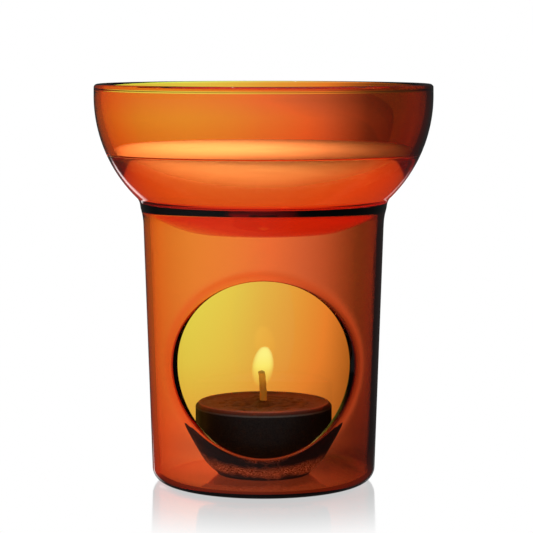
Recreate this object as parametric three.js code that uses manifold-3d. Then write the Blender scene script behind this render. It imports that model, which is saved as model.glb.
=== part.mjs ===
// Amber glass oil burner that holds one tealight: a water bowl on a chamber with a round window.
// Millimetres, +Z up, origin at the centre of the base's underside, the window facing -Y.

import * as THREE from 'three';
import { mergeVertices } from 'three/addons/utils/BufferGeometryUtils.js';
import Module from 'manifold-3d';

const wasm = await Module();
wasm.setup();

// ---- Driving dimensions --------------------------------------------------------------------

const HEIGHT = 110.4;            // underside of the base to the top of the rim
const GLASS_WALL = 1.8;
const GAP = 0.3;                 // clearance between neighbouring pieces

// Bowl: the outside is one arc, nearly upright at the rim, that runs into a flat bottom
const BOWL_ARC_RADIUS = 39.1;
const BOWL_ARC_CENTRE_R = 7.6;
const BOWL_ARC_CENTRE_Z = 107;
const BOWL_BOTTOM_Z = 69.3;
const BOWL_FLAT_RADIUS = 12;
const BOWL_BLEND_ANGLE = 20;     // degrees from straight down where the flat bottom joins the arc
const BOWL_BOTTOM_EXTRA = 1.0;   // the bowl's wall thickens by this much towards its bottom
const RIM_BEAD_RADIUS = 1.05;    // the fire-polished lip is a little thicker than the wall
const RIM_BEAD_ANGLE = 60;       // degrees from straight down where the lip leaves the wall

// Chamber: a closed tube that widens slightly upwards and flares under the bowl
const CHAMBER_BASE_RADIUS = 30.9;
const CHAMBER_TAPER = 0.0325;    // radius gained per millimetre of height
const HEEL_RADIUS = 4;
const FLARE_START_Z = 71.5;
const FLARE_TOP_RADIUS = 34.0;
const FLARE_UPRIGHT = 2.5;       // how far the wall still rises before it turns outwards

// Window in the chamber's front
const WINDOW_RADIUS = 23.9;
const WINDOW_Z = 35.3;
const WINDOW_BEAD_RADIUS = 1.15; // the fire-polished edge is a little thicker than the wall
const WINDOW_BEAD_INSET = 0.9;   // share of the bead's radius that lies outside the window's edge

// Tealight: a round-bottomed cup with a bevelled rim, standing on the chamber's floor
const CUP_RADIUS = 19;
const CUP_WALL = 1.3;
const CUP_FOOT_RADIUS = 13;
const CUP_FOOT_CHAMFER = 0.6;
const CUP_BASE_Z = GLASS_WALL + 0.2;
const CUP_RIM_Z = 22.1;
const CUP_SHOULDER_Z = 13.5;     // where the rounded bottom becomes the upright wall
const CUP_BEVEL = 1.1;
const CUP_INNER_DROP = 0.1;      // the rim's inner edge lies this much below its outer edge
const CUP_FLOOR_EXTRA = 0.3;     // the cup's floor is this much thicker in the middle

// Wax: nearly level, with a bevelled edge and a small cone drawn up around the wick
const WAX_LEVEL_Z = CUP_RIM_Z - 0.7;
const WAX_BEVEL_WIDTH = 1.2;
const WAX_BEVEL_HEIGHT = 0.4;
const WAX_CONE_OUTER_RADIUS = 5;
const WAX_CONE_MIDDLE_RADIUS = 2.6;
const WAX_CONE_DIP = 0.1;
const WAX_CONE_MIDDLE_RISE = 0.4;
const WAX_CONE_RISE = 1.3;

const WICK_RADIUS = 1.1;
const WICK_TOP_Z = 30.9;
const WICK_LEAN = 0.6;
const WICK_UPRIGHT = 4;          // how far the wick rises above the rim before it leans
const TAB_RADIUS = 6.5;
const TAB_THICKNESS = 0.4;
const COLLAR_HEIGHT = 3.2;
const COLLAR_WALL = 0.5;

// Facets round each turned piece, along the wick and round a quarter of it
const GLASS_SEGMENTS = 64;
const TEALIGHT_SEGMENTS = 40;
const TAB_SEGMENTS = 24;
const WICK_STEPS = 10;
const WICK_CURVE_SEGMENTS = 5;
const BEAD_SEGMENTS = 6;
const MERGE_DISTANCE = 1e-4;

// ---- Profile helpers: a profile is a list of [radius, height] points -----------------------

const radians = (degrees) => degrees * Math.PI / 180;

// Points on a circle; angles are measured from straight down and turn outwards
function arc(centreR, centreZ, radius, fromDegrees, toDegrees, steps) {
  const points = [];
  for (let i = 0; i <= steps; i += 1) {
    const angle = radians(fromDegrees + (toDegrees - fromDegrees) * i / steps);
    points.push([centreR + radius * Math.sin(angle), centreZ - radius * Math.cos(angle)]);
  }
  return points;
}

function curve(controls, steps) {
  const vectors = controls.map(([r, z]) => new THREE.Vector2(r, z));
  const bezier = controls.length === 3
    ? new THREE.QuadraticBezierCurve(...vectors)
    : new THREE.CubicBezierCurve(...vectors);
  return bezier.getPoints(steps).map((p) => [p.x, p.y]);
}

function lathe(profile, segments) {
  const points = profile.map(([r, z]) => new THREE.Vector2(r, z));
  const geometry = new THREE.LatheGeometry(points, segments);
  geometry.rotateX(Math.PI / 2);
  return geometry;
}

// ---- Boolean helpers -----------------------------------------------------------------------

function toManifold(geometry) {
  const bare = geometry.clone();
  bare.deleteAttribute('normal');
  bare.deleteAttribute('uv');
  const merged = mergeVertices(bare, MERGE_DISTANCE);
  const index = merged.index.array;
  const triangles = [];
  for (let i = 0; i < index.length; i += 3) {
    const [a, b, c] = [index[i], index[i + 1], index[i + 2]];
    if (a !== b && b !== c && c !== a) triangles.push(a, b, c);
  }
  return new wasm.Manifold(new wasm.Mesh({
    numProp: 3,
    vertProperties: new Float32Array(merged.attributes.position.array),
    triVerts: new Uint32Array(triangles),
  }));
}

function toGeometry(manifold) {
  const mesh = manifold.getMesh();
  const geometry = new THREE.BufferGeometry();
  geometry.setAttribute('position', new THREE.BufferAttribute(mesh.vertProperties, 3));
  geometry.setIndex(new THREE.BufferAttribute(mesh.triVerts, 1));
  geometry.computeVertexNormals();
  return geometry;
}

// ---- Bowl ----------------------------------------------------------------------------------

// One face of the bowl's wall, from the axis out to the rim: the outer face moved inwards by an
// offset and upwards by a lift
function bowlFace(offset, lift, steps) {
  const radius = BOWL_ARC_RADIUS - offset;
  const centreZ = BOWL_ARC_CENTRE_Z + lift;
  const bottomZ = BOWL_BOTTOM_Z + offset + lift;
  const side = arc(BOWL_ARC_CENTRE_R, centreZ, radius, BOWL_BLEND_ANGLE, 90, steps);
  const [joinR, joinZ] = side[0];
  const tangentR = joinR - (joinZ - bottomZ) / Math.tan(radians(BOWL_BLEND_ANGLE));
  const blend = curve([[BOWL_FLAT_RADIUS, bottomZ], [tangentR, bottomZ], [joinR, joinZ]], 4);
  return [[0, bottomZ], ...blend, ...side.slice(1)];
}

function bowlGeometry() {
  const rimR = BOWL_ARC_CENTRE_R + BOWL_ARC_RADIUS - GLASS_WALL / 2;
  const rimZ = HEIGHT - RIM_BEAD_RADIUS;
  const outside = bowlFace(0, 0, 9);
  const rim = arc(rimR, rimZ, RIM_BEAD_RADIUS, RIM_BEAD_ANGLE, 360 - RIM_BEAD_ANGLE, 6);
  const inside = bowlFace(GLASS_WALL, BOWL_BOTTOM_EXTRA, 8).reverse();
  return lathe([...outside, ...rim, ...inside], GLASS_SEGMENTS);
}

// ---- Chamber -------------------------------------------------------------------------------

const chamberRadius = (z) => CHAMBER_BASE_RADIUS + CHAMBER_TAPER * z;

// The chamber's top edge follows the bowl's underside, one gap below it
function underBowl(r) {
  const reach = r - BOWL_ARC_CENTRE_R;
  return BOWL_ARC_CENTRE_Z - Math.sqrt((BOWL_ARC_RADIUS + GAP) ** 2 - reach ** 2);
}

function chamberShell() {
  const outerHeelR = chamberRadius(HEEL_RADIUS) - HEEL_RADIUS;
  const innerHeel = HEEL_RADIUS - GLASS_WALL;
  const innerTopR = chamberRadius(FLARE_START_Z) - GLASS_WALL;
  const middleR = (FLARE_TOP_RADIUS + innerTopR) / 2;
  const flareTop = [FLARE_TOP_RADIUS, underBowl(FLARE_TOP_RADIUS) - GAP];
  return lathe([
    [0, 0],
    ...arc(outerHeelR, HEEL_RADIUS, HEEL_RADIUS, 0, 90, 4),
    ...curve([
      [chamberRadius(FLARE_START_Z), FLARE_START_Z],
      [chamberRadius(FLARE_START_Z), FLARE_START_Z + FLARE_UPRIGHT],
      flareTop,
    ], 4),
    [middleR, underBowl(middleR)],
    [innerTopR, underBowl(innerTopR)],
    ...arc(outerHeelR, HEEL_RADIUS, innerHeel, 90, 0, 4),
    [0, GLASS_WALL],
  ], GLASS_SEGMENTS);
}

// A straight round cutter through the front wall only
function windowCutter() {
  const length = CHAMBER_BASE_RADIUS + GLASS_WALL * 3;
  const geometry = new THREE.CylinderGeometry(WINDOW_RADIUS, WINDOW_RADIUS, length, GLASS_SEGMENTS);
  geometry.translate(0, -length / 2, WINDOW_Z);
  return geometry;
}

// A ring laid on the middle of the wall, so that its depth follows the tube's curve
function windowBead() {
  const ringR = WINDOW_RADIUS + WINDOW_BEAD_RADIUS * WINDOW_BEAD_INSET;
  const geometry = new THREE.TorusGeometry(ringR, WINDOW_BEAD_RADIUS, BEAD_SEGMENTS, GLASS_SEGMENTS);
  const position = geometry.attributes.position;
  for (let i = 0; i < position.count; i += 1) {
    const x = position.getX(i);
    const z = WINDOW_Z + position.getY(i);
    const wallR = chamberRadius(z) - GLASS_WALL / 2;
    const depth = position.getZ(i);
    position.setXYZ(i, x, -Math.sqrt(wallR ** 2 - x ** 2) - depth, z);
  }
  return geometry;
}

function chamberGeometry() {
  const open = toManifold(chamberShell()).subtract(toManifold(windowCutter()));
  return toGeometry(open.add(toManifold(windowBead())));
}

// ---- Tealight ------------------------------------------------------------------------------

// The cup's rounded bottom, one curve from the foot to the upright wall, moved inwards by an
// offset: it leaves the foot at a low angle and reaches the wall upright
function cupFace(offset, steps) {
  const footInset = 0.8;
  const footPull = { r: 0.25, z: 0.16 };
  const wallPull = 0.5;
  const wallR = CUP_RADIUS - offset;
  const footR = CUP_FOOT_RADIUS - offset * footInset;
  const footZ = CUP_BASE_Z + CUP_FOOT_CHAMFER + offset;
  const rise = CUP_SHOULDER_Z - footZ;
  return curve([
    [footR, footZ],
    [footR + rise * footPull.r, footZ + rise * footPull.z],
    [wallR, footZ + rise * wallPull],
    [wallR, CUP_SHOULDER_Z],
  ], steps);
}

const CUP_FLOOR_Z = CUP_BASE_Z + CUP_WALL + CUP_FLOOR_EXTRA;

function cupGeometry() {
  const innerR = CUP_RADIUS - CUP_WALL;
  return lathe([
    [0, CUP_BASE_Z],
    [CUP_FOOT_RADIUS - CUP_FOOT_CHAMFER, CUP_BASE_Z],
    ...cupFace(0, 7),
    [CUP_RADIUS, CUP_RIM_Z - CUP_BEVEL],
    [CUP_RADIUS - CUP_BEVEL, CUP_RIM_Z],
    [innerR, CUP_RIM_Z - CUP_INNER_DROP],
    ...cupFace(CUP_WALL, 6).reverse(),
    [0, CUP_FLOOR_Z],
  ], TEALIGHT_SEGMENTS);
}

const TAB_Z = CUP_FLOOR_Z + GAP;
const COLLAR_INNER = WICK_RADIUS + GAP;
const COLLAR_OUTER = COLLAR_INNER + COLLAR_WALL;

// A ring of wax around the wick, hollowed underneath for the tab and its collar
function waxGeometry() {
  const side = cupFace(CUP_WALL + GAP, 6);
  const wallR = CUP_RADIUS - CUP_WALL - GAP;
  const boreR = WICK_RADIUS + GAP;
  const tabTop = TAB_Z + TAB_THICKNESS + GAP;
  const collarTop = TAB_Z + TAB_THICKNESS + COLLAR_HEIGHT + GAP;
  return lathe([
    [TAB_RADIUS + GAP, side[0][1]],
    ...side,
    [wallR, WAX_LEVEL_Z + WAX_BEVEL_HEIGHT],
    [wallR - WAX_BEVEL_WIDTH, WAX_LEVEL_Z],
    [WAX_CONE_OUTER_RADIUS, WAX_LEVEL_Z - WAX_CONE_DIP],
    [WAX_CONE_MIDDLE_RADIUS, WAX_LEVEL_Z + WAX_CONE_MIDDLE_RISE],
    [boreR, WAX_LEVEL_Z + WAX_CONE_RISE],
    [boreR, collarTop],
    [COLLAR_OUTER + GAP, collarTop],
    [COLLAR_OUTER + GAP, tabTop],
    [TAB_RADIUS + GAP, tabTop],
    [TAB_RADIUS + GAP, side[0][1]],
  ], TEALIGHT_SEGMENTS);
}

// The pressed disc at the foot of the wick, with the collar that grips it
function tabGeometry() {
  const top = TAB_Z + TAB_THICKNESS;
  return lathe([
    [0, TAB_Z],
    [TAB_RADIUS, TAB_Z],
    [TAB_RADIUS, top],
    [COLLAR_OUTER, top],
    [COLLAR_OUTER, top + COLLAR_HEIGHT],
    [COLLAR_INNER, top + COLLAR_HEIGHT],
    [COLLAR_INNER, top],
    [0, top],
  ], TAB_SEGMENTS);
}

function wickGeometry() {
  const footZ = TAB_Z + TAB_THICKNESS + GAP;
  const route = new THREE.CubicBezierCurve3(
    new THREE.Vector3(0, 0, footZ),
    new THREE.Vector3(0, 0, CUP_RIM_Z),
    new THREE.Vector3(0, 0, CUP_RIM_Z + WICK_UPRIGHT),
    new THREE.Vector3(-WICK_LEAN, 0, WICK_TOP_Z),
  );
  const section = new THREE.Shape();
  section.absarc(0, 0, WICK_RADIUS, 0, Math.PI * 2);
  return new THREE.ExtrudeGeometry(section, {
    steps: WICK_STEPS,
    extrudePath: route,
    curveSegments: WICK_CURVE_SEGMENTS,
  });
}

// ---- Assembly ------------------------------------------------------------------------------

function piece(name, geometry, color, roughness, metalness) {
  const material = new THREE.MeshStandardMaterial({ color, roughness, metalness });
  const mesh = new THREE.Mesh(geometry, material);
  mesh.name = name;
  return mesh;
}

const burner = new THREE.Group();
burner.add(piece('bowl', bowlGeometry(), 0xd8702a, 0.05, 0));
burner.add(piece('chamber', chamberGeometry(), 0xe2862e, 0.05, 0));

const tealight = new THREE.Group();
tealight.add(piece('tealight_cup', cupGeometry(), 0x1c1512, 0.55, 0.6));
tealight.add(piece('wax', waxGeometry(), 0x6e3a20, 0.45, 0));
tealight.add(piece('wick', wickGeometry(), 0x9a6a2a, 0.9, 0));
tealight.add(piece('wick_tab', tabGeometry(), 0x9a9a98, 0.35, 1));
burner.add(tealight);

export default burner;
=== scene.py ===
"""Looks of the amber glass oil burner: fused glass, water, lit tealight, floor, light and camera."""
import math

import bmesh
import bpy
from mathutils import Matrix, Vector, noise

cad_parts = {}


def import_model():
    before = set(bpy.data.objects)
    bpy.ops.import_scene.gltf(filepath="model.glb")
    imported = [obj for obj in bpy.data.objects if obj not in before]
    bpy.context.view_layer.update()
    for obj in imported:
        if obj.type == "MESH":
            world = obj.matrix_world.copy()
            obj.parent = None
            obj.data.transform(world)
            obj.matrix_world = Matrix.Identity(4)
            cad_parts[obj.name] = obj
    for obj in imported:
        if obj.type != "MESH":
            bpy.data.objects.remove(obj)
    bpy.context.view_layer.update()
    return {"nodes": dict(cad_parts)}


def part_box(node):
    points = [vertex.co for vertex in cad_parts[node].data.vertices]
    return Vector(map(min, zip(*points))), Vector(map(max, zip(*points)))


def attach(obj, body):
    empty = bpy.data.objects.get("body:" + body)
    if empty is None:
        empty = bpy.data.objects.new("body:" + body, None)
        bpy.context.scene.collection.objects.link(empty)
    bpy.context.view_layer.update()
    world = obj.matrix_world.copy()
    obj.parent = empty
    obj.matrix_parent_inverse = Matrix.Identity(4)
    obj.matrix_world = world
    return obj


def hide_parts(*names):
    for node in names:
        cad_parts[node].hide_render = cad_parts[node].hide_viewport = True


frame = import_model()

MM = 0.001

# ---- Driving dimensions, in millimetres like the CAD ------------------------------------------

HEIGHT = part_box("bowl")[1][2] / MM
WALL = 1.8

BOWL_ARC = 39.1            # outside arc of the bowl: radius, and the centre's radius and height
BOWL_ARC_R = 7.6
BOWL_ARC_Z = 107.0
BOWL_BOTTOM_Z = 69.3
BOWL_FLAT_R = 12.0
BLEND_DEGREES = 20.0
BOWL_LIFT = 1.0            # the bowl's wall thickens by this much towards its bottom
FLAT_RINGS = (0, 4, 8)     # radii of the rings that carry the bowl's flat bottom
LIP = 1.05                 # radius of the fire-polished rim, a little thicker than the wall

BASE_R = 30.9              # chamber radius at the table, growing by TAPER per millimetre of height
TAPER = 0.0325
HEEL = 4.0
FLOOR_RINGS = (0, 10, 20)  # radii of the rings that carry the chamber's flat base
NECK_HEIGHTS = (67.5, 69, 70.5)   # of the wall's rings above the window patch

SEAM_DEGREES = 44.0        # the chamber is fused on below this place on the bowl's arc
SLIT = 0.15                # inside the seam a fine slit is left between bowl and chamber
SLIT_START_DEGREES = 38.0
SLIT_END_DEGREES = 42.0
# Control points of the chamber's flare under the bowl, and of the fillet that joins it to the bowl.
FLARE_OUTSIDE = ((33.25, 72.0), (33.4, 74.6), (33.9, 75.6), (34.05, 76.6))
FLARE_INSIDE = ((31.4, 72.0), (31.42, 74.0), (31.55, 75.6))
SEAM_FILLET = ((34.05, 76.6), (34.2, 77.9), (34.3, 78.0))

WINDOW_Z = 35.3
WINDOW_CLEAR_R = 23.8
BEAD = 1.15                # half the thickness of the fire-polished edge
EDGE_POWER = 0.48          # 1 for a round edge, less for a flatter one
EDGE_WIDTH = 1.3           # the thickening fades out over this distance from the edge
PATCH_LOW_Z = 6.0          # the wall around the window is one patch between these heights
PATCH_HIGH_Z = 66.0

WATER_Z = 91.7
WATER_OVERLAP = 0.12       # the water is pressed into the glass, so that no air is left between them
MENISCUS = 0.3             # how far the water climbs the glass, and over what width
MENISCUS_WIDTH = 1.1
MENISCUS_STEP = 0.25       # the surface's first ring is this far from where the water meets the glass
MENISCUS_GROWTH = 1.22     # and each next ring is this many times as far
MENISCUS_RINGS = 24
OIL_HALF = 0.06            # half the oil film's thickness

COLUMNS = 192              # glass segments round the axis
PATCH_COLUMNS = 35         # columns of the window patch on each side of the front
PATCH_ROWS = 44
AXIS_R = 1e-6              # a ring narrower than this is one point


# ---- Profiles: lists of (radius, height) ------------------------------------------------------

def arc(centre_r, centre_z, radius, start, end, steps):
    """Points on a circle, with angles in degrees from straight down, turning outwards."""
    points = []
    for i in range(steps + 1):
        angle = math.radians(start + (end - start) * i / steps)
        points.append((centre_r + radius * math.sin(angle), centre_z - radius * math.cos(angle)))
    return points


def bezier(controls, steps):
    """Points on the Bezier curve of any number of control points."""
    points = []
    for i in range(steps + 1):
        layer = [Vector(c) for c in controls]
        while len(layer) > 1:
            layer = [a.lerp(b, i / steps) for a, b in zip(layer, layer[1:])]
        points.append(tuple(layer[0]))
    return points


def wall_mid(z):
    """Radius of the middle of the chamber's wall."""
    return BASE_R + TAPER * z - WALL / 2


def bowl_face(offset, steps, start=BLEND_DEGREES, end=90, lift=0.0):
    """The bowl's side arc, moved inwards by an offset and upwards by a lift."""
    return arc(BOWL_ARC_R, BOWL_ARC_Z + lift, BOWL_ARC - offset, start, end, steps)


def bowl_bottom(offset, lift=0.0):
    """The bowl's flat bottom from the axis outwards, blended into its side arc."""
    bottom = BOWL_BOTTOM_Z + offset + lift
    join_r, join_z = bowl_face(offset, 1, lift=lift)[0]
    tangent_r = join_r - (join_z - bottom) / math.tan(math.radians(BLEND_DEGREES))
    blend = bezier([(BOWL_FLAT_R, bottom), (tangent_r, bottom), (join_r, join_z)], 8)
    return [(r, bottom) for r in FLAT_RINGS] + blend


def bowl_inside(offset, steps):
    """The bowl's inner face from the axis to where the rim's lip begins."""
    return bowl_bottom(offset, BOWL_LIFT) + bowl_face(offset, steps, lift=BOWL_LIFT)[1:]


def outer_profile():
    """The outside below the window patch, and above it on over the rim to the bowl's inside."""
    heel_r = BASE_R + TAPER * HEEL - HEEL
    low = [(r, 0) for r in FLOOR_RINGS] + arc(heel_r, HEEL, HEEL, 0, 90, 12)
    wall = [(BASE_R + TAPER * z, z) for z in NECK_HEIGHTS]
    flare = bezier(FLARE_OUTSIDE, 8)
    side = bowl_face(0, 44, start=SEAM_DEGREES)
    fillet = bezier([*SEAM_FILLET, side[0]], 10)
    rim_r = BOWL_ARC_R + BOWL_ARC - LIP
    lip_inner_r = rim_r - LIP
    wall_inner_r = rim_r + LIP - WALL
    bend_z = HEIGHT - 1.5 * LIP
    lip = arc(rim_r, HEIGHT - LIP, LIP, 90, 270, 14)
    neck = bezier([(lip_inner_r, HEIGHT - LIP), (lip_inner_r, bend_z),
                   (wall_inner_r, bend_z), (wall_inner_r, HEIGHT - 2.1 * LIP)], 10)
    inside = bowl_inside(WALL, 48)[::-1]
    return low, wall + flare + fillet[1:] + side[1:] + lip[1:] + neck[1:] + inside[1:]


def cavity_profile():
    """The chamber's inside below the window patch, and above it on to the bowl's underside."""
    heel_r = BASE_R + TAPER * HEEL - HEEL
    low = [(r, WALL) for r in FLOOR_RINGS] + arc(heel_r, HEEL, HEEL - WALL, 0, 90, 10)
    wall = [(wall_mid(z) - WALL / 2, z) for z in NECK_HEIGHTS]
    flare = bezier(FLARE_INSIDE, 6)
    slit = bowl_face(-SLIT, 8, start=SLIT_START_DEGREES, end=SLIT_END_DEGREES)
    under = bowl_face(0, 36, end=SLIT_END_DEGREES + 0.1)
    return low, wall + flare + slit + (bowl_bottom(0) + under[1:])[::-1]


# ---- Mesh helpers -----------------------------------------------------------------------------

def place(radius, angle, z):
    """A point in metres; angle 0 is the front, -Y, and turns towards +X."""
    return Vector((radius * math.sin(angle), -radius * math.cos(angle), z)) * MM


def ring(bm, radius, z, columns):
    """A ring of vertices, or one vertex on the axis."""
    if radius < AXIS_R:
        return [bm.verts.new(place(0, 0, z))]
    return [bm.verts.new(place(radius, 2 * math.pi * i / columns, z)) for i in range(columns)]


def stitch(bm, low, high):
    """Faces between two rings, each of which may be one point."""
    count = max(len(low), len(high))
    for i in range(count):
        j = i + 1
        corners = [low[i % len(low)], low[j % len(low)], high[j % len(high)], high[i % len(high)]]
        bm.faces.new(list(dict.fromkeys(corners)))


def stitch_all(bm, rings):
    """Faces between each ring and the next."""
    for low, high in zip(rings, rings[1:]):
        stitch(bm, low, high)


def finish_mesh(bm, name, material, body):
    """Turn a bmesh into a smooth object that rides on a body; one of the stage has no body."""
    bmesh.ops.recalc_face_normals(bm, faces=bm.faces)
    for face in bm.faces:
        face.smooth = True
    mesh = bpy.data.meshes.new(name)
    bm.to_mesh(mesh)
    bm.free()
    piece = bpy.data.objects.new(name, mesh)
    bpy.context.scene.collection.objects.link(piece)
    piece.data.materials.append(material)
    if body:
        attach(piece, body)
    return piece


def lathe(name, profile, columns, material, body, shape=None):
    """A closed surface of revolution from axis to axis; shape may move each vertex of the result."""
    bm = bmesh.new()
    stitch_all(bm, [ring(bm, r, z, columns) for r, z in profile])
    if shape:
        for vertex in bm.verts:
            vertex.co = shape(vertex.co)
    return finish_mesh(bm, name, material, body)


# ---- Glass ------------------------------------------------------------------------------------

def patch_height(row):
    """Height of a row of the window patch."""
    return PATCH_LOW_Z + (PATCH_HIGH_Z - PATCH_LOW_Z) * row / PATCH_ROWS


def in_patch(row, column):
    """True for a vertex strictly inside the window patch."""
    return 0 < row < PATCH_ROWS and abs(column) < PATCH_COLUMNS


def wall_rows(bm, side):
    """The wall's grid between the patch's heights, with a hole for the patch; side is 1 or -1."""
    half = COLUMNS // 2
    rows = []
    for row in range(PATCH_ROWS + 1):
        z = patch_height(row)
        radius = wall_mid(z) + side * WALL / 2
        rows.append({c: bm.verts.new(place(radius, 2 * math.pi * c / COLUMNS, z))
                     for c in range(-half, half) if not in_patch(row, c)})
    for low, high in zip(rows, rows[1:]):
        for c in range(-half, half):
            if -PATCH_COLUMNS <= c < PATCH_COLUMNS:
                continue
            following = c + 1 if c + 1 < half else -half
            bm.faces.new([low[c], low[following], high[following], high[c]])
    return rows


def as_ring(row):
    """The vertices of a full row in the order that ring() uses."""
    return [row[c] for c in range(COLUMNS // 2)] + [row[c] for c in range(-COLUMNS // 2, 0)]


def patch_border():
    """Grid places round the patch, in order."""
    side, rows = PATCH_COLUMNS, PATCH_ROWS
    border = [(0, c) for c in range(-side, side)]
    border += [(r, side) for r in range(rows)]
    border += [(rows, c) for c in range(side, -side, -1)]
    border += [(r, -side) for r in range(rows, 0, -1)]
    return border


def half_wall(distance):
    """Half the wall's thickness at a distance from the window's edge."""
    return WALL / 2 + (BEAD - WALL / 2) * math.exp(-(distance / EDGE_WIDTH) ** 2)


def on_wall(bm, point, offset):
    """A vertex on the wall over a point of the front view, measured from the window's centre."""
    z = point.y + WINDOW_Z
    middle = wall_mid(z)
    return bm.verts.new(place(middle + offset, math.asin(point.x / middle), z))


def window_patch(bm, outer, inner):
    """Rings from the window's rounded edge out to the border of the patch, on both faces."""
    border = patch_border()
    edge_r = WINDOW_CLEAR_R + BEAD
    starts, ends = [], []
    for row, column in border:
        z = patch_height(row)
        end = Vector((wall_mid(z) * math.sin(2 * math.pi * column / COLUMNS), z - WINDOW_Z))
        ends.append(end)
        starts.append(end.normalized() * edge_r)

    def face_ring(step, side):
        points = [s.lerp(e, (step / steps) ** 2) for s, e in zip(starts, ends)]
        return [on_wall(bm, p, side * half_wall((p - s).length)) for p, s in zip(points, starts)]

    def edge_ring(turn):
        reach = BEAD * math.sin(turn) ** EDGE_POWER
        across = math.copysign(BEAD * abs(math.cos(turn)) ** EDGE_POWER, math.cos(turn))
        return [on_wall(bm, s.normalized() * (edge_r - reach), across) for s in starts]

    steps, edge_steps = 16, 24
    rings = [[outer[r][c] for r, c in border]]
    rings += [face_ring(step, 1) for step in range(steps - 1, -1, -1)]
    rings += [edge_ring(math.pi * step / edge_steps) for step in range(1, edge_steps)]
    rings += [face_ring(step, -1) for step in range(steps)]
    rings.append([inner[r][c] for r, c in border])
    stitch_all(bm, rings)


def glass_piece(material):
    """Bowl and chamber fused into one closed glass, with the window's edge thickened and rounded."""
    bm = bmesh.new()
    walls = []
    for (low, high), side in ((outer_profile(), 1), (cavity_profile(), -1)):
        rows = wall_rows(bm, side)
        stitch_all(bm, [ring(bm, r, z, COLUMNS) for r, z in low] + [as_ring(rows[0])])
        stitch_all(bm, [as_ring(rows[-1])] + [ring(bm, r, z, COLUMNS) for r, z in high])
        walls.append(rows)
    window_patch(bm, *walls)
    piece = finish_mesh(bm, "fused_glass", material, "glass")
    piece.data.set_sharp_from_angle(angle=math.radians(40))
    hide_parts("bowl", "chamber")


# ---- Water ------------------------------------------------------------------------------------

def surface_height(inwards):
    """Height of the water's surface at a distance from where it meets the glass."""
    return WATER_Z + MENISCUS * math.exp(-inwards / MENISCUS_WIDTH)


def water_piece(material):
    """Water up to its level, with a meniscus."""
    wetted = [(r, z) for r, z in bowl_inside(WALL - WATER_OVERLAP, 120) if z < WATER_Z + MENISCUS]
    edge_r = wetted[-1][0]
    surface = []
    for i in range(MENISCUS_RINGS):
        inwards = MENISCUS_STEP * MENISCUS_GROWTH ** i
        surface.append((edge_r - inwards, surface_height(inwards)))
    profile = wetted + surface + [(0, WATER_Z)]
    piece = lathe("water", profile, COLUMNS, material, "glass")


def oil_piece(material):
    """A thin film of scented oil that covers the water and climbs its meniscus."""
    edge_r = max(r for r, z in bowl_inside(WALL, 120) if z < WATER_Z + MENISCUS * 0.7)
    steps = 24
    top = []
    for i in range(steps + 1):
        r = edge_r * (1 - (i / steps) ** 2)
        top.append((r, surface_height(edge_r - r + MENISCUS_STEP)))
    profile = [(r, z - OIL_HALF) for r, z in top[::-1]] + [(r, z + OIL_HALF) for r, z in top]
    piece = lathe("oil_film", profile, 96, material, "glass")


# ---- Tealight ---------------------------------------------------------------------------------

CUP_R = 19.0
CUP_WALL = 1.3
CUP_INNER_R = CUP_R - CUP_WALL
CUP_FOOT_R = 13.0
CUP_BASE_Z = 2.0
CUP_CHAMFER = 0.6
CUP_SHOULDER_Z = 13.5      # where the rounded bottom becomes the upright wall
CUP_RIM_Z = 22.1
CUP_BEVEL = 1.1
CUP_BEVEL_Z = CUP_RIM_Z - CUP_BEVEL
CUP_WALL_RINGS = (15, 17, 19, 20)
CUP_FLOOR_Z = CUP_BASE_Z + CUP_WALL + 0.3

WAX_GAP = 0.02             # between the wax and the cup
WAX_DROP = 0.75            # from the cup's rim down to the wax
WAX_MENISCUS = 0.5
WAX_MENISCUS_WIDTH = 0.7
WAX_MOUND = 1.5
WAX_MOUND_R = 2.3
WAX_TAB_R = 7.2            # hollow under the wax for the wick's tab
WAX_TAB_HEIGHT = 1.2

WICK_R = 1.1
WICK_FOOT_Z = 8.0
WICK_TOP_Z = 30.9
WICK_LEAN = 0.6
WICK_UPRIGHT = 4.0         # height above the rim of the last point on the axis that steers its curve
WICK_TWIST = 14            # over its length, in radians

FLAME_FOOT_Z = 25.6
FLAME_HEIGHT = 11.9
FLAME_R = 3.1
FLAME_FULLNESS = 0.45      # power of the outline's sine: less is fuller
FLAME_LEAN = 0.09          # sideways for each millimetre of rise


def cup_face(offset, steps):
    """The cup's rounded bottom, moved inwards by an offset."""
    wall_r = CUP_R - offset
    foot_r = CUP_FOOT_R - offset * 0.8
    foot_z = CUP_BASE_Z + CUP_CHAMFER + offset
    soft = CUP_SHOULDER_Z - foot_z
    return bezier([(foot_r, foot_z), (foot_r + soft * 0.25, foot_z + soft * 0.16),
                   (wall_r, foot_z + soft * 0.5), (wall_r, CUP_SHOULDER_Z)], steps)


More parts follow.
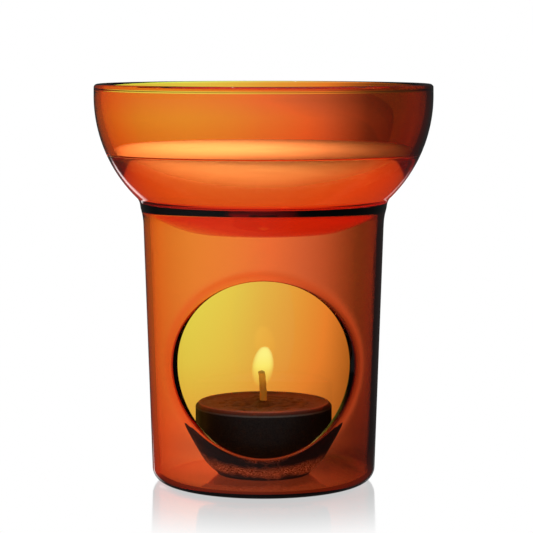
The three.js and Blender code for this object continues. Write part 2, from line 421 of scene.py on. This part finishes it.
def cup_piece(material):
    """The dark cup: foot, rounded bottom, upright wall and bevelled rim."""
    foot = bezier([(CUP_FOOT_R - 0.9, CUP_BASE_Z), (CUP_FOOT_R - 0.2, CUP_BASE_Z),
                   (CUP_FOOT_R, CUP_BASE_Z + 0.15), cup_face(0, 1)[0]], 6)
    wall = [(CUP_R, z) for z in CUP_WALL_RINGS]
    edge = bezier([(CUP_R, CUP_BEVEL_Z - 0.45), (CUP_R + 0.05, CUP_BEVEL_Z),
                   (CUP_R - 0.3, CUP_BEVEL_Z + 0.3)], 6)
    top = bezier([(CUP_R - CUP_BEVEL + 0.3, CUP_RIM_Z - 0.28), (CUP_R - CUP_BEVEL, CUP_RIM_Z),
                  (CUP_INNER_R, CUP_RIM_Z - 0.02), (CUP_INNER_R, CUP_RIM_Z - 0.5)], 8)
    outside = [(0, CUP_BASE_Z), (6, CUP_BASE_Z)] + foot + cup_face(0, 24)[1:] + wall + edge
    inside = [(CUP_INNER_R, 18)] + cup_face(CUP_WALL, 16)[::-1] + [(0, CUP_FLOOR_Z)]
    profile = outside + top + inside
    piece = lathe("cup", profile, 160, material, "tealight")
    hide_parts("tealight_cup")


def wax_surface(r):
    """Height of the wax: a meniscus at the cup and a mound at the wick."""
    meniscus = WAX_MENISCUS * math.exp(-(CUP_INNER_R - r) / WAX_MENISCUS_WIDTH)
    mound = WAX_MOUND * math.exp(-(r / WAX_MOUND_R) ** 1.3)
    return CUP_RIM_Z - WAX_DROP + meniscus + mound


def wax_shape(co):
    """Soft lumps where the wax has set, strongest near the wick, and none at the cup."""
    if co.z < (CUP_RIM_Z - 3) * MM:
        return co
    r = math.hypot(co.x, co.y) / MM
    fade = max(0.0, 1 - r / CUP_INNER_R)
    swirl = noise.noise(co / MM * 0.16 + Vector((3.1, 0.4, 0.0)))
    lumps = noise.noise(co / MM * 0.45)
    return co + Vector((0, 0, (0.55 * swirl + 0.4 * lumps) * fade ** 0.6 * MM))


def wax_piece(material):
    """Wax fill around the tab, up to just under the rim."""
    edge = CUP_INNER_R - WAX_GAP
    steps = 40
    radii = [edge * (i / steps) ** 0.9 for i in range(steps, 0, -1)]
    top = [(r, wax_surface(r)) for r in radii] + [(0, wax_surface(0))]
    side = cup_face(CUP_WALL + WAX_GAP, 14)
    bottom = side[0][1]
    roof = bottom + WAX_TAB_HEIGHT
    hollow = [(0, roof), (WAX_TAB_R, roof), (WAX_TAB_R + 0.2, bottom)]
    profile = hollow + side + [(edge, 18)] + top
    piece = lathe("wax_fill", profile, 160, material, "tealight", wax_shape)
    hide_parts("wax")


def wick_centre(t):
    """The wick's centre line from its foot to its tip, for t from 0 to 1."""
    points = [Vector((0, 0, WICK_FOOT_Z)), Vector((0, 0, CUP_RIM_Z)),
              Vector((0, 0, CUP_RIM_Z + WICK_UPRIGHT)), Vector((-WICK_LEAN, 0, WICK_TOP_Z - 0.4))]
    while len(points) > 1:
        points = [a.lerp(b, t) for a, b in zip(points, points[1:])]
    return points[0]


def wick_radius(t, angle):
    """Radius of three strands twisted together, thinner towards the tip and cut off round."""
    taper = WICK_R * (1 - 0.12 * t) * (0.75 if t == 1 else 1)
    groove = 1 - abs(math.cos(1.5 * (angle + t * WICK_TWIST)))
    return taper * (1 - 0.13 * groove)


def wick_piece(material):
    """A cord of three twisted strands, charred and slightly thinner at its tip."""
    bm = bmesh.new()
    sides, steps = 36, 70
    rings = []
    for i in range(steps + 1):
        centre = wick_centre(i / steps)
        row = []
        for s in range(sides):
            angle = 2 * math.pi * s / sides
            fuzz = 1 + 0.05 * noise.noise(Vector((s * 0.7, i * 0.45, 2.0)))
            radius = wick_radius(i / steps, angle) * fuzz
            outwards = Vector((math.cos(angle), math.sin(angle), 0)) * radius
            row.append(bm.verts.new((centre + outwards) * MM))
        rings.append(row)
    stitch_all(bm, rings)
    bm.faces.new(rings[0])
    tip = bm.verts.new((wick_centre(1) + Vector((0.1, 0, 0.25))) * MM)
    stitch(bm, rings[-1], [tip])
    piece = finish_mesh(bm, "wick_cord", material, "tealight")
    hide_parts("wick")


def flame_piece(material):
    """A small round-topped flame that wraps the wick's tip and leans over a little."""
    profile = []
    steps = 44
    for i in range(steps + 1):
        t = i / steps
        swell = math.sin(math.pi * t) ** FLAME_FULLNESS if 0 < i < steps else 0
        profile.append((FLAME_R * swell, FLAME_FOOT_Z + FLAME_HEIGHT * t))

    def lean(co):
        rise = co.z / MM - WICK_TOP_Z
        return co + Vector(((FLAME_LEAN * rise - 0.5 * WICK_LEAN) * MM, 0, 0))

    piece = lathe("flame", profile, 48, material, "tealight", lean)


# ---- Materials --------------------------------------------------------------------------------

class Nodes:
    """A short way to add and link the nodes of one tree."""

    def __init__(self, tree):
        self.tree = tree
        tree.nodes.clear()

    def feed(self, socket, value):
        """Link a node's first output or an output to a socket, or set the socket's own value."""
        if isinstance(value, bpy.types.Node):
            value = value.outputs[0]
        if isinstance(value, bpy.types.NodeSocket):
            self.tree.links.new(value, socket)
        else:
            socket.default_value = value

    def put(self, node, name, value):
        """Feed the node's input of that name."""
        self.feed(next(s for s in node.inputs if s.name == name and s.enabled), value)

    def add(self, kind, **values):
        """A new node; each value is one of its settings, or an input with underscores for spaces."""
        node = self.tree.nodes.new("ShaderNode" + kind)
        for key, value in values.items():
            if hasattr(node, key):
                setattr(node, key, value)
            else:
                self.put(node, key.replace("_", " "), value)
        return node

    def fed(self, kind, inputs, **settings):
        """A new node whose inputs are fed by their number."""
        node = self.add(kind, **settings)
        for index, value in inputs.items():
            self.feed(node.inputs[index], value)
        return node

    def math(self, operation, a, b=0.0):
        return self.fed("Math", {0: a, 1: b}, operation=operation)

    def times(self, a, b):
        return self.math("MULTIPLY", a, b)

    def mix_values(self, factor, a, b):
        return self.fed("Mix", {0: factor, 2: a, 3: b}, data_type="FLOAT")

    def mix_colors(self, factor, a, b, blend="MIX"):
        return self.fed("Mix", {0: factor, 6: a, 7: b}, data_type="RGBA", blend_type=blend).outputs[2]

    def mix_shaders(self, factor, a, b):
        return self.fed("MixShader", {0: factor, 1: a, 2: b})

    def axis(self, vector, name):
        """One coordinate of a vector."""
        return self.add("SeparateXYZ", Vector=vector).outputs[name]

    def ramp(self, factor, stops):
        """A colour ramp from stops of (position, grey or colour)."""
        node = self.fed("ValToRGB", {0: factor})
        elements = node.color_ramp.elements
        elements.remove(elements[-1])
        for i, (position, color) in enumerate(stops):
            element = elements[0] if i == 0 else elements.new(position)
            element.position = position
            element.color = (*color, 1) if isinstance(color, tuple) else (color, color, color, 1)
        return node

    def output(self, surface, volume=None):
        out = self.add("OutputMaterial", Surface=surface)
        if volume:
            self.put(out, "Volume", volume)


def new_material(name):
    """A material and its nodes, cleared."""
    material = bpy.data.materials.new(name)
    material.use_nodes = True
    return material, Nodes(material.node_tree)


def amber_glass():
    """Clear surface over an absorbing body, so that the amber deepens with the light's path."""
    material, n = new_material("amber_glass")
    spot = n.add("TexCoord").outputs["Object"]
    stretch = n.add("Mapping", Scale=(30.0, 30.0, 110.0), Vector=spot)
    waves = n.add("TexNoise", Scale=1.0, Detail=1.5, Vector=stretch)
    bump = n.add("Bump", Strength=0.05, Distance=0.0006, Height=waves)
    glass = n.add("BsdfPrincipled", Base_Color=(1, 1, 1, 1), Roughness=0.0, IOR=1.47,
                  Transmission_Weight=1.0, Normal=bump)
    body = n.add("VolumeAbsorption", Color=(0.955, 0.466, 0.0, 1), Density=1100.0)
    n.output(glass, body)
    return material


def water():
    """Clear water with a barely uneven surface."""
    material, n = new_material("water")
    spot = n.add("TexCoord").outputs["Object"]
    waves = n.add("TexNoise", Scale=60.0, Detail=1.0, Vector=spot)
    bump = n.add("Bump", Strength=0.03, Distance=0.0005, Height=waves)
    surface = n.add("BsdfPrincipled", Base_Color=(1, 1, 1, 1), Roughness=0.0, IOR=1.333,
                    Transmission_Weight=1.0, Normal=bump)
    n.output(surface)
    return material


def oil():
    """Oil that scatters light seen along the surface: clear from higher up, and clearer from below."""
    material, n = new_material("oil")
    spot = n.add("TexCoord").outputs["Object"]
    patches = n.add("TexNoise", Scale=70.0, Detail=2.0, Vector=spot)
    facing = n.add("LayerWeight", Blend=0.5).outputs["Facing"]
    geometry = n.add("NewGeometry")
    upper_side = n.math("GREATER_THAN", n.axis(geometry.outputs["True Normal"], "Z"), 0.0)
    outside = n.math("SUBTRACT", 1.0, geometry.outputs["Backfacing"])
    from_above = n.ramp(facing, [(0.74, 0.0), (0.82, 0.2), (0.9, 0.8), (1.0, 1.0)])
    from_below = n.ramp(facing, [(0.83, 0.0), (0.87, 0.12), (0.91, 0.75), (0.94, 1.0)])
    seen = n.times(n.mix_values(upper_side, from_below, from_above), outside)
    cover = n.times(seen, n.ramp(patches, [(0.3, 0.85), (0.7, 1.0)]))
    upper = n.add("BsdfDiffuse", Color=(0.95, 0.93, 0.72, 1))
    through = n.add("BsdfTranslucent", Color=(0.82, 1.0, 0.76, 1))
    n.output(n.mix_shaders(cover, n.add("BsdfTransparent"), n.mix_shaders(0.8, upper, through)))
    return material


def cup_metal():
    """Near-black cast metal with fine grain, a painted band of light from below on its rounded bottom
    with painted shade at the foot, and a painted highlight and brown reflection along the rim.
    """
    material, n = new_material("cup_metal")
    spot = n.add("TexCoord").outputs["Object"]
    grain = n.add("TexNoise", Scale=2600.0, Detail=3.0, Roughness=0.7, Vector=spot)
    pits = n.add("TexVoronoi", Scale=1500.0, Vector=spot)
    patches = n.add("TexNoise", Scale=220.0, Detail=2.0, Vector=spot)
    height_mm = n.times(n.axis(spot, "Z"), 1 / MM)

    black = n.ramp(grain, [(0.35, (0.004, 0.003, 0.003)), (0.75, (0.02, 0.015, 0.012))])
    # Painted highlight and reflection along the rim: a grey line just under the bevel, then brown to
    # pinkish-brown on the bevel and the rim's top.
    fine = n.math("ADD", height_mm, n.times(grain, 0.25))
    rim_band = n.add("MapRange", Value=fine, From_Min=CUP_BEVEL_Z - 0.5, From_Max=CUP_RIM_Z + 0.5)
    rim = n.ramp(rim_band, [(0.0, 0.0), (0.12, (0.09, 0.085, 0.08)), (0.24, (0.10, 0.08, 0.07)),
                        (0.34, (0.06, 0.02, 0.012)), (0.62, (0.13, 0.045, 0.03)),
                        (0.74, (0.42, 0.2, 0.14))])
    dark = n.mix_colors(1.0, black, rim, "LIGHTEN")

    # Painted light: a ragged band low on the cup's rounded bottom is coloured as pale grain lit from
    # below, and under it the cup turns black again at the foot as a painted contact shadow.
    ragged = n.math("ADD", height_mm, n.times(patches, 4.0))
    lower = n.ramp(n.times(ragged, 0.05), [(0.25, 0.0), (0.31, 1.0), (0.37, 1.0), (0.55, 0.0)])
    lit_grain_below = n.ramp(grain, [(0.40, (0.01, 0.008, 0.006)), (0.50, (0.36, 0.29, 0.23)),
                          (0.60, (1.0, 0.9, 0.8))])

    rough = n.ramp(patches, [(0.3, 0.42), (0.7, 0.62)])
    height = n.math("ADD", n.times(grain, 0.7), n.times(pits, 0.5))
    bump = n.add("Bump", Strength=0.5, Distance=0.00012, Height=height)
    n.output(n.add("BsdfPrincipled", Base_Color=n.mix_colors(lower, dark, lit_grain_below), Roughness=rough,
                   Metallic=0.0, Specular_IOR_Level=0.12, Normal=bump))
    return material


def wax():
    """Warm brown wax with set rings, slow swirls and streaks, and a satin skin."""
    material, n = new_material("wax")
    spot = n.add("TexCoord").outputs["Object"]
    swirl = n.add("TexNoise", Scale=160.0, Detail=3.0, Distortion=1.2, Vector=spot)
    fine = n.add("TexNoise", Scale=900.0, Detail=2.0, Vector=spot)
    flat = n.add("Mapping", Vector=spot, Scale=(1.0, 1.0, 0.0))
    reach = n.fed("VectorMath", {0: flat}, operation="LENGTH").outputs["Value"]
    outwards = n.times(reach, 1 / (CUP_INNER_R * MM))
    rays = n.fed("VectorMath", {0: flat}, operation="NORMALIZE")
    streaks = n.add("TexNoise", Scale=7.0, Detail=3.0, Vector=rays)
    tone = n.math("ADD", n.math("ADD", outwards, n.times(swirl, 0.34)), n.times(streaks, 0.30))
    color = n.ramp(tone, [
        (0.38, (0.010, 0.005, 0.004)), (0.50, (0.15, 0.09, 0.045)), (0.58, (0.03, 0.015, 0.010)),
        (0.69, (0.19, 0.11, 0.055)), (0.78, (0.04, 0.02, 0.014)), (0.90, (0.23, 0.13, 0.065)),
        (1.0, (0.05, 0.025, 0.018)), (1.0, (0.24, 0.13, 0.08))])
    rough = n.ramp(fine, [(0.3, 0.34), (0.7, 0.5)])
    bump = n.add("Bump", Strength=0.25, Distance=0.0002, Height=fine)
    n.output(n.add("BsdfPrincipled", Base_Color=color, Roughness=rough, Normal=bump,
                   Specular_IOR_Level=0.3))
    return material


def wick():
    """Cotton cord soaked in wax, charred towards its tip, with a painted orange glow over its whole
    length for the flame's light on it.
    """
    material, n = new_material("wick")
    spot = n.add("TexCoord").outputs["Object"]
    char = n.add("MapRange", Value=n.axis(spot, "Z"), From_Min=(WICK_TOP_Z - 1.6) * MM,
                 From_Max=(WICK_TOP_Z - 0.2) * MM)
    fibres = n.add("TexNoise", Scale=2400.0, Detail=3.0, Vector=spot)
    charred = n.math("ADD", char, n.times(fibres, 0.5))
    color = n.ramp(charred, [(0.2, (0.50, 0.19, 0.02)), (0.6, (0.42, 0.15, 0.01)),
                             (1.0, (0.14, 0.05, 0.01))])
    bump = n.add("Bump", Strength=0.6, Distance=0.0001, Height=fibres)
    # The emission is a painted glow: the whole cord glows orange as if lit by the flame.
    n.output(n.add("BsdfPrincipled", Base_Color=color, Roughness=0.75, Normal=bump,
                   Emission_Color=(0.8, 0.28, 0.01, 1), Emission_Strength=0.16))
    return material


def tab_steel():
    """Pressed tinned steel with fine turning marks and dull stains."""
    material, n = new_material("tab_steel")
    spot = n.add("TexCoord").outputs["Object"]
    rings = n.add("TexWave", wave_type="RINGS", rings_direction="Z", Scale=900.0, Distortion=0.6,
                  Vector=spot)
    rough = n.ramp(rings, [(0.2, 0.25), (0.8, 0.42)])
    stains = n.add("TexNoise", Scale=350.0, Detail=3.0, Vector=spot)
    color = n.ramp(stains, [(0.35, (0.48, 0.47, 0.45)), (0.65, (0.64, 0.64, 0.63))])
    bump = n.add("Bump", Strength=0.2, Distance=0.00005, Height=rings)
    n.output(n.add("BsdfPrincipled", Base_Color=color, Roughness=rough, Metallic=1.0, Normal=bump))
    return material


def flame():
    """Bright above the wick, faint around it, and fading to nothing at its outline."""
    material, n = new_material("flame")
    spot = n.add("TexCoord").outputs["Object"]
    facing = n.add("LayerWeight", Blend=0.5).outputs["Facing"]
    edge = n.ramp(facing, [(0.0, 1.0), (0.2, 0.85), (0.5, 0.4), (0.85, 0.0)])
    height = n.add("MapRange", Value=n.axis(spot, "Z"), From_Min=FLAME_FOOT_Z * MM,
                   From_Max=(FLAME_FOOT_Z + FLAME_HEIGHT) * MM)
    near = n.ramp(height, [(0.0, 0.0), (0.42, 0.06), (0.56, 0.5), (1.0, 0.8)])
    far = n.ramp(height, [(0.0, 0.0), (0.15, 0.35), (0.45, 0.75), (1.0, 0.9)])
    body = n.mix_values(n.add("NewGeometry").outputs["Backfacing"], near, far)
    color = n.ramp(height, [(0.1, (1.0, 0.72, 0.10)), (0.5, (1.0, 0.88, 0.16)),
                            (0.8, (1.0, 0.92, 0.24))])
    glow = n.add("Emission", Color=color, Strength=1.0)
    n.output(n.mix_shaders(n.times(edge, body), n.add("BsdfTransparent"), glow))
    return material


# ---- Stage ------------------------------------------------------------------------------------

FLOOR_R = 600.0
FLOOR_Z = -0.02
FLOOR_SHINE_R = 78.0           # the table mirrors the burner up to this distance from the axis
FLOOR_SHINE = (                # how much of it, by share of that distance
    (0.0, 0.42), (0.45, 0.42), (0.62, 0.32), (0.8, 0.17), (1.0, 0.0))

CARD_R = 60.0                  # the light card stands this far from the axis
CARD_BASE_Z = -0.01
CARD_TOP_Z = 125.0
CARD_LEVELS = (                # brightness by degrees from straight behind, positive to the right
    (-180, 0.9), (-100, 1.2), (-62, 2.4), (-40, 2.75), (-24, 2.5), (-10, 1.95), (0, 1.45), (9, 1.15),
    (18, 0.85), (26, 0.48), (33, 0.2), (45, 0.08), (62, 0.1), (100, 0.75), (140, 0.9), (180, 0.9))
LEVEL_RANGE = 3.0              # the levels go through a ramp from 0 to this
CARD_FALL = (                  # brightness up the card by share of its height
    (0.0, 0.42), (0.1, 0.6), (0.2, 0.78), (0.4, 0.95), (0.57, 1.0), (0.66, 1.3), (0.775, 1.32),
    (0.83, 0.85), (1.0, 0.75))
FALL_RANGE = 2.0
THIN_DEPTH = 2.5               # light with fewer refractions than this came through one wall
CARD_RED_GAIN = (1.3, 0.8)     # red for each unit of light: through one wall, and through more glass
CARD_RED_CAP = (0.9, 1.08)     # the most red that it gives, the same way
CARD_BLUE_GAIN = (0.31, 1.8)
CARD_BLUE_CAP = (10.0, 1.0)    # the most light that counts for blue
MIRRORED_SHARES = (            # how much of it is left after a reflection inside one glass wall
    (-180, 0.08), (-110, 0.15), (-85, 0.7), (-45, 0.6), (-10, 0.1), (180, 0.08))
MIRRORED_LOW = (               # at least this much is left, by share of the card's height
    (0.0, 0.3), (0.02, 0.0))
SCATTERED = (                  # how bright it is as a light on wax and metal, by share of its height
    (0.0, 3.4), (0.03, 0.2))

# What the glass mirrors: heights go from straight down to straight up, sides from left to right.
ROOM_CEILING = ((0.5, 0.04), (0.85, 0.04), (1.0, 0.6))
ROOM_SIDES = (                 # below eye level
    (0.0, 0.2), (0.5, 0.14), (0.75, 0.05), (1.0, 0.04))
ROOM_FRONT = (                 # and its share from front to back
    (0.3, 1.0), (0.8, 0.15))
STREAK_HEIGHTS = ((0.28, 0.0), (0.33, 1.0), (0.39, 1.0), (0.41, 0.0))
STREAK_SIDES = (
    (0.30, 0.0), (0.32, 1.6), (0.34, 1.6), (0.36, 0.0), (0.62, 0.0), (0.64, 0.7), (0.66, 0.0))
DIFFUSE_LIGHT = 0.22
REFRACTED_LIGHT = 0.03

LAMP_POWER = 100.0
LAMP_PLACE = (-60, 40, 500)
LAMP_AIM = (-16, 0, WATER_Z)
LAMP_RADIUS = 20
LAMP_CONE_DEGREES = 12.8

CAMERA_PLACE = (0.8, -610, 121.5)
CAMERA_AIM_Z = 59.8
CAMERA_LENS = 149.2


def turned_by_degrees(table, scale=1.0):
    """A table by degrees from -180 to 180 as ramp stops."""
    return [((degrees + 180) / 360, value / scale) for degrees, value in table]


def floor_material():
    """Plain white table whose faint, soft reflection of the burner fades with distance."""
    material, n = new_material("floor")
    spot = n.add("NewGeometry").outputs["Position"]
    reach = n.fed("VectorMath", {0: spot}, operation="LENGTH").outputs["Value"]
    share = n.ramp(n.times(reach, 1 / (FLOOR_SHINE_R * MM)), FLOOR_SHINE)
    white = n.add("Emission", Color=(1, 1, 1, 1), Strength=1.0)
    gloss = n.add("BsdfGlossy", Color=(1, 1, 1, 1), Roughness=0.09)
    n.output(n.mix_shaders(share, white, gloss))
    material.cycles.emission_sampling = "NONE"
    return material


def floor():
    """The table. The glass neither mirrors it nor shows it: the light card stands in for it there."""
    bm = bmesh.new()
    disc = ring(bm, FLOOR_R, FLOOR_Z, 96)
    bm.faces.new(disc[::-1])
    piece = finish_mesh(bm, "floor", floor_material(), None)
    piece.visible_glossy = False
    piece.visible_transmission = False


def card_material():
    """Light that enters the glass all round: brightest behind it on the left, dim on the right."""
    material, n = new_material("light_card")
    position = n.add("NewGeometry").outputs["Position"]
    turn = n.math("ARCTAN2", n.axis(position, "X"), n.axis(position, "Y"))
    around = n.times(n.math("ADD", turn, math.pi), 0.5 / math.pi)
    rise = n.times(n.axis(position, "Z"), 1 / (CARD_TOP_Z * MM))
    path = n.add("LightPath")
    thin = n.math("LESS_THAN", path.outputs["Transmission Depth"], THIN_DEPTH)

    def by_depth(one_wall, more):
        return n.math("ADD", n.times(thin, one_wall - more), more)

    level = n.times(n.ramp(around, turned_by_degrees(CARD_LEVELS, LEVEL_RANGE)), LEVEL_RANGE)
    fall = n.ramp(rise, [(share, value / FALL_RANGE) for share, value in CARD_FALL])
    light_level = n.times(n.times(level, fall), FALL_RANGE)
    red = n.times(light_level, by_depth(*CARD_RED_GAIN))
    red = n.math("MINIMUM", red, by_depth(*CARD_RED_CAP))
    blue = n.math("MINIMUM", light_level, by_depth(*CARD_BLUE_CAP))
    blue = n.times(blue, by_depth(*CARD_BLUE_GAIN))
    color = n.add("CombineColor", Red=red, Green=light_level, Blue=blue)

    mirrored = n.times(n.math("GREATER_THAN", path.outputs["Glossy Depth"], 0.5), thin)
    turned = n.ramp(around, turned_by_degrees(MIRRORED_SHARES))
    share = n.math("MAXIMUM", turned, n.ramp(rise, MIRRORED_LOW))
    kept = n.math("ADD", n.math("SUBTRACT", 1.0, mirrored), n.times(mirrored, share))
    scattered = n.math("GREATER_THAN", path.outputs["Diffuse Depth"], 0.5)
    bounce = n.times(scattered, n.ramp(rise, SCATTERED))
    spread = n.math("ADD", bounce, n.math("SUBTRACT", 1.0, scattered))
    n.output(n.add("Emission", Color=color, Strength=n.times(kept, spread)))
    material.cycles.emission_sampling = "NONE"
    return material


def card():
    """A bright dish round the burner that only light through glass can see."""
    bm = bmesh.new()
    profile = ((0, CARD_BASE_Z), (CARD_R, CARD_BASE_Z), (CARD_R, CARD_TOP_Z))
    stitch_all(bm, [ring(bm, r, z, 128) for r, z in profile])
    piece = finish_mesh(bm, "light_card", card_material(), None)
    piece.visible_camera = False
    piece.visible_diffuse = False
    piece.visible_glossy = False
    piece.visible_shadow = False


def world():
    """White for the camera, soft light on matt things; the glass mirrors a dark room and two streaks."""
    scene_world = bpy.data.worlds.new("studio")
    bpy.context.scene.world = scene_world
    scene_world.use_nodes = True
    n = Nodes(scene_world.node_tree)
    split = n.add("SeparateXYZ", Vector=n.add("TexCoord").outputs["Generated"])
    side, depth, height = [n.times(n.math("ADD", split.outputs[name], 1.0), 0.5) for name in "XYZ"]
    path = n.add("LightPath")

    below = n.math("LESS_THAN", split.outputs["Z"], 0.0)
    room = n.times(n.times(n.ramp(side, ROOM_SIDES), n.ramp(depth, ROOM_FRONT)), below)
    behind = n.math("GREATER_THAN", split.outputs["Y"], 0.0)
    streak = n.times(n.times(n.ramp(height, STREAK_HEIGHTS), n.ramp(side, STREAK_SIDES)), behind)
    mirrored = n.math("ADD", n.math("MAXIMUM", n.ramp(height, ROOM_CEILING), room), streak)

    singular = path.outputs["Is Singular Ray"]
    blurred = n.times(path.outputs["Is Glossy Ray"], n.math("SUBTRACT", 1.0, singular))
    direct = n.math("LESS_THAN", path.outputs["Transmission Depth"], 0.5)
    upwards = n.math("GREATER_THAN", split.outputs["Z"], 0.0)
    table = n.times(n.times(blurred, direct), upwards)

    level = n.math("MAXIMUM", n.times(mirrored, path.outputs["Is Glossy Ray"]), table)
    level = n.math("MAXIMUM", level, n.times(path.outputs["Is Diffuse Ray"], DIFFUSE_LIGHT))
    level = n.math("MAXIMUM", level, n.times(path.outputs["Is Transmission Ray"], REFRACTED_LIGHT))
    level = n.math("MAXIMUM", level, path.outputs["Is Camera Ray"])
    n.add("OutputWorld", Surface=n.add("Background", Color=(1, 1, 1, 1), Strength=level))


def camera():
    """A long lens a little above the rim, aimed at the middle of the burner."""
    data = bpy.data.cameras.new("camera")
    data.sensor_width = 36
    data.lens = CAMERA_LENS
    viewer = bpy.data.objects.new("camera", data)
    viewer.location = Vector(CAMERA_PLACE) * MM
    pitch = math.atan2(CAMERA_PLACE[2] - CAMERA_AIM_Z, -CAMERA_PLACE[1])
    viewer.rotation_euler = (math.pi / 2 - pitch, 0, 0)
    bpy.context.scene.collection.objects.link(viewer)
    bpy.context.scene.camera = viewer


def lamp():
    """A soft lamp overhead and to the left that lights the oil through the bowl's mouth."""
    data = bpy.data.lights.new("lamp", "SPOT")
    data.energy = LAMP_POWER
    data.shadow_soft_size = LAMP_RADIUS * MM
    data.spot_size = math.radians(LAMP_CONE_DEGREES)
    data.spot_blend = 1.0
    light = bpy.data.objects.new("lamp", data)
    light.location = Vector(LAMP_PLACE) * MM
    direction = Vector(LAMP_AIM) * MM - light.location
    light.rotation_euler = direction.to_track_quat("-Z", "Y").to_euler()
    bpy.context.scene.collection.objects.link(light)


def render_look():
    """Neutral colours, and enough bounces for light through many glass faces."""
    scene = bpy.context.scene
    scene.view_settings.view_transform = "Standard"
    scene.view_settings.look = "None"
    scene.cycles.max_bounces = 32
    scene.cycles.transmission_bounces = 32
    scene.cycles.glossy_bounces = 12
    scene.cycles.transparent_max_bounces = 16
    scene.cycles.diffuse_bounces = 3
    scene.cycles.caustics_reflective = True
    scene.cycles.caustics_refractive = True
    scene.cycles.sample_clamp_indirect = 4.0


# ---- Build ------------------------------------------------------------------------------------

camera()
render_look()
world()
floor()
card()
lamp()

glass_piece(amber_glass())
water_piece(water())
oil_piece(oil())
cup_piece(cup_metal())
wax_piece(wax())
wick_piece(wick())
flame_piece(flame())
frame["nodes"]["wick_tab"].material_slots[0].material = tab_steel()
